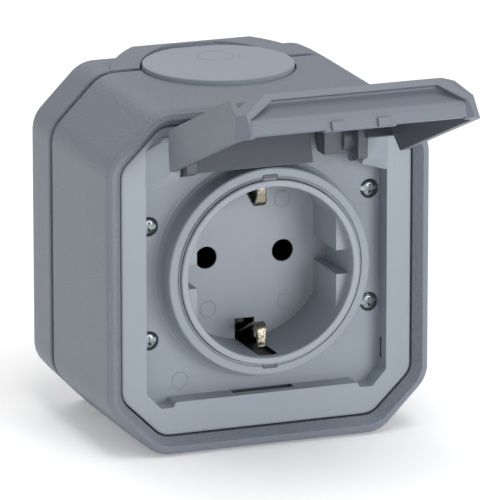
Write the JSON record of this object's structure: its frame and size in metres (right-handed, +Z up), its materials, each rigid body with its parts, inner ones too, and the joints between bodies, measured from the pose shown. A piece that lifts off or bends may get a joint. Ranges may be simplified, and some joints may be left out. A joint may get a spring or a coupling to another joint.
{
  "type": "outdoor socket outlet",
  "caption": "Surface-mounted weatherproof socket outlet: deep grey box, round recessed earthed well, hinged lid standing open, soft cable entry on top.",
  "frame": {"origin": "centre of the flat back face that lies on the wall", "axes": "+Z up, -Y out of the socket's front, +Y into the wall, +X to the right seen from the front"},
  "size_m": [0.08, 0.1086, 0.0974],
  "materials": {
    "body_grey": "fine matt texture",
    "panel_grey": "satin",
    "lid_grey": "satin",
    "seal_black": "matt",
    "entry_grey": "matt",
    "zinc_steel": "zinc plated",
    "nickel": "nickel plated",
    "brass": "plain",
    "carrier_white": "matt"
  },
  "bodies": {
    "socket": {"back_box": "body_grey", "front_housing": "body_grey", "insert_panel": "panel_grey", "socket_bowl": "panel_grey", "cable_entry": "entry_grey", "box_seal": "seal_black", "panel_seal": "seal_black", "bowl_seal": "seal_black", "contact_carrier": "carrier_white", "neutral_contact": "brass", "live_contact": "brass", "neutral_terminal": "brass", "live_terminal": "brass", "earth_terminal": "brass", "earth_strip": "nickel", "live_terminal_screw": "zinc_steel", "neutral_terminal_screw": "zinc_steel", "earth_terminal_screw": "zinc_steel", "hinge_pin_left": "zinc_steel", "hinge_pin_right": "zinc_steel", "carrier_screw_1": "zinc_steel", "carrier_screw_2": "zinc_steel", "panel_screw_1": "zinc_steel", "panel_screw_2": "zinc_steel", "panel_screw_3": "zinc_steel", "panel_screw_4": "zinc_steel"},
    "lid": {"lid": "lid_grey", "lid_seal": "seal_black"}
  },
  "joints": [
    {"name": "lid_hinge", "type": "hinge", "parent": "socket", "child": "lid", "pos_m": [0, -0.0511, 0.0307], "axis": [1, 0, 0], "range_deg": [0, 112.2]}
  ]
}
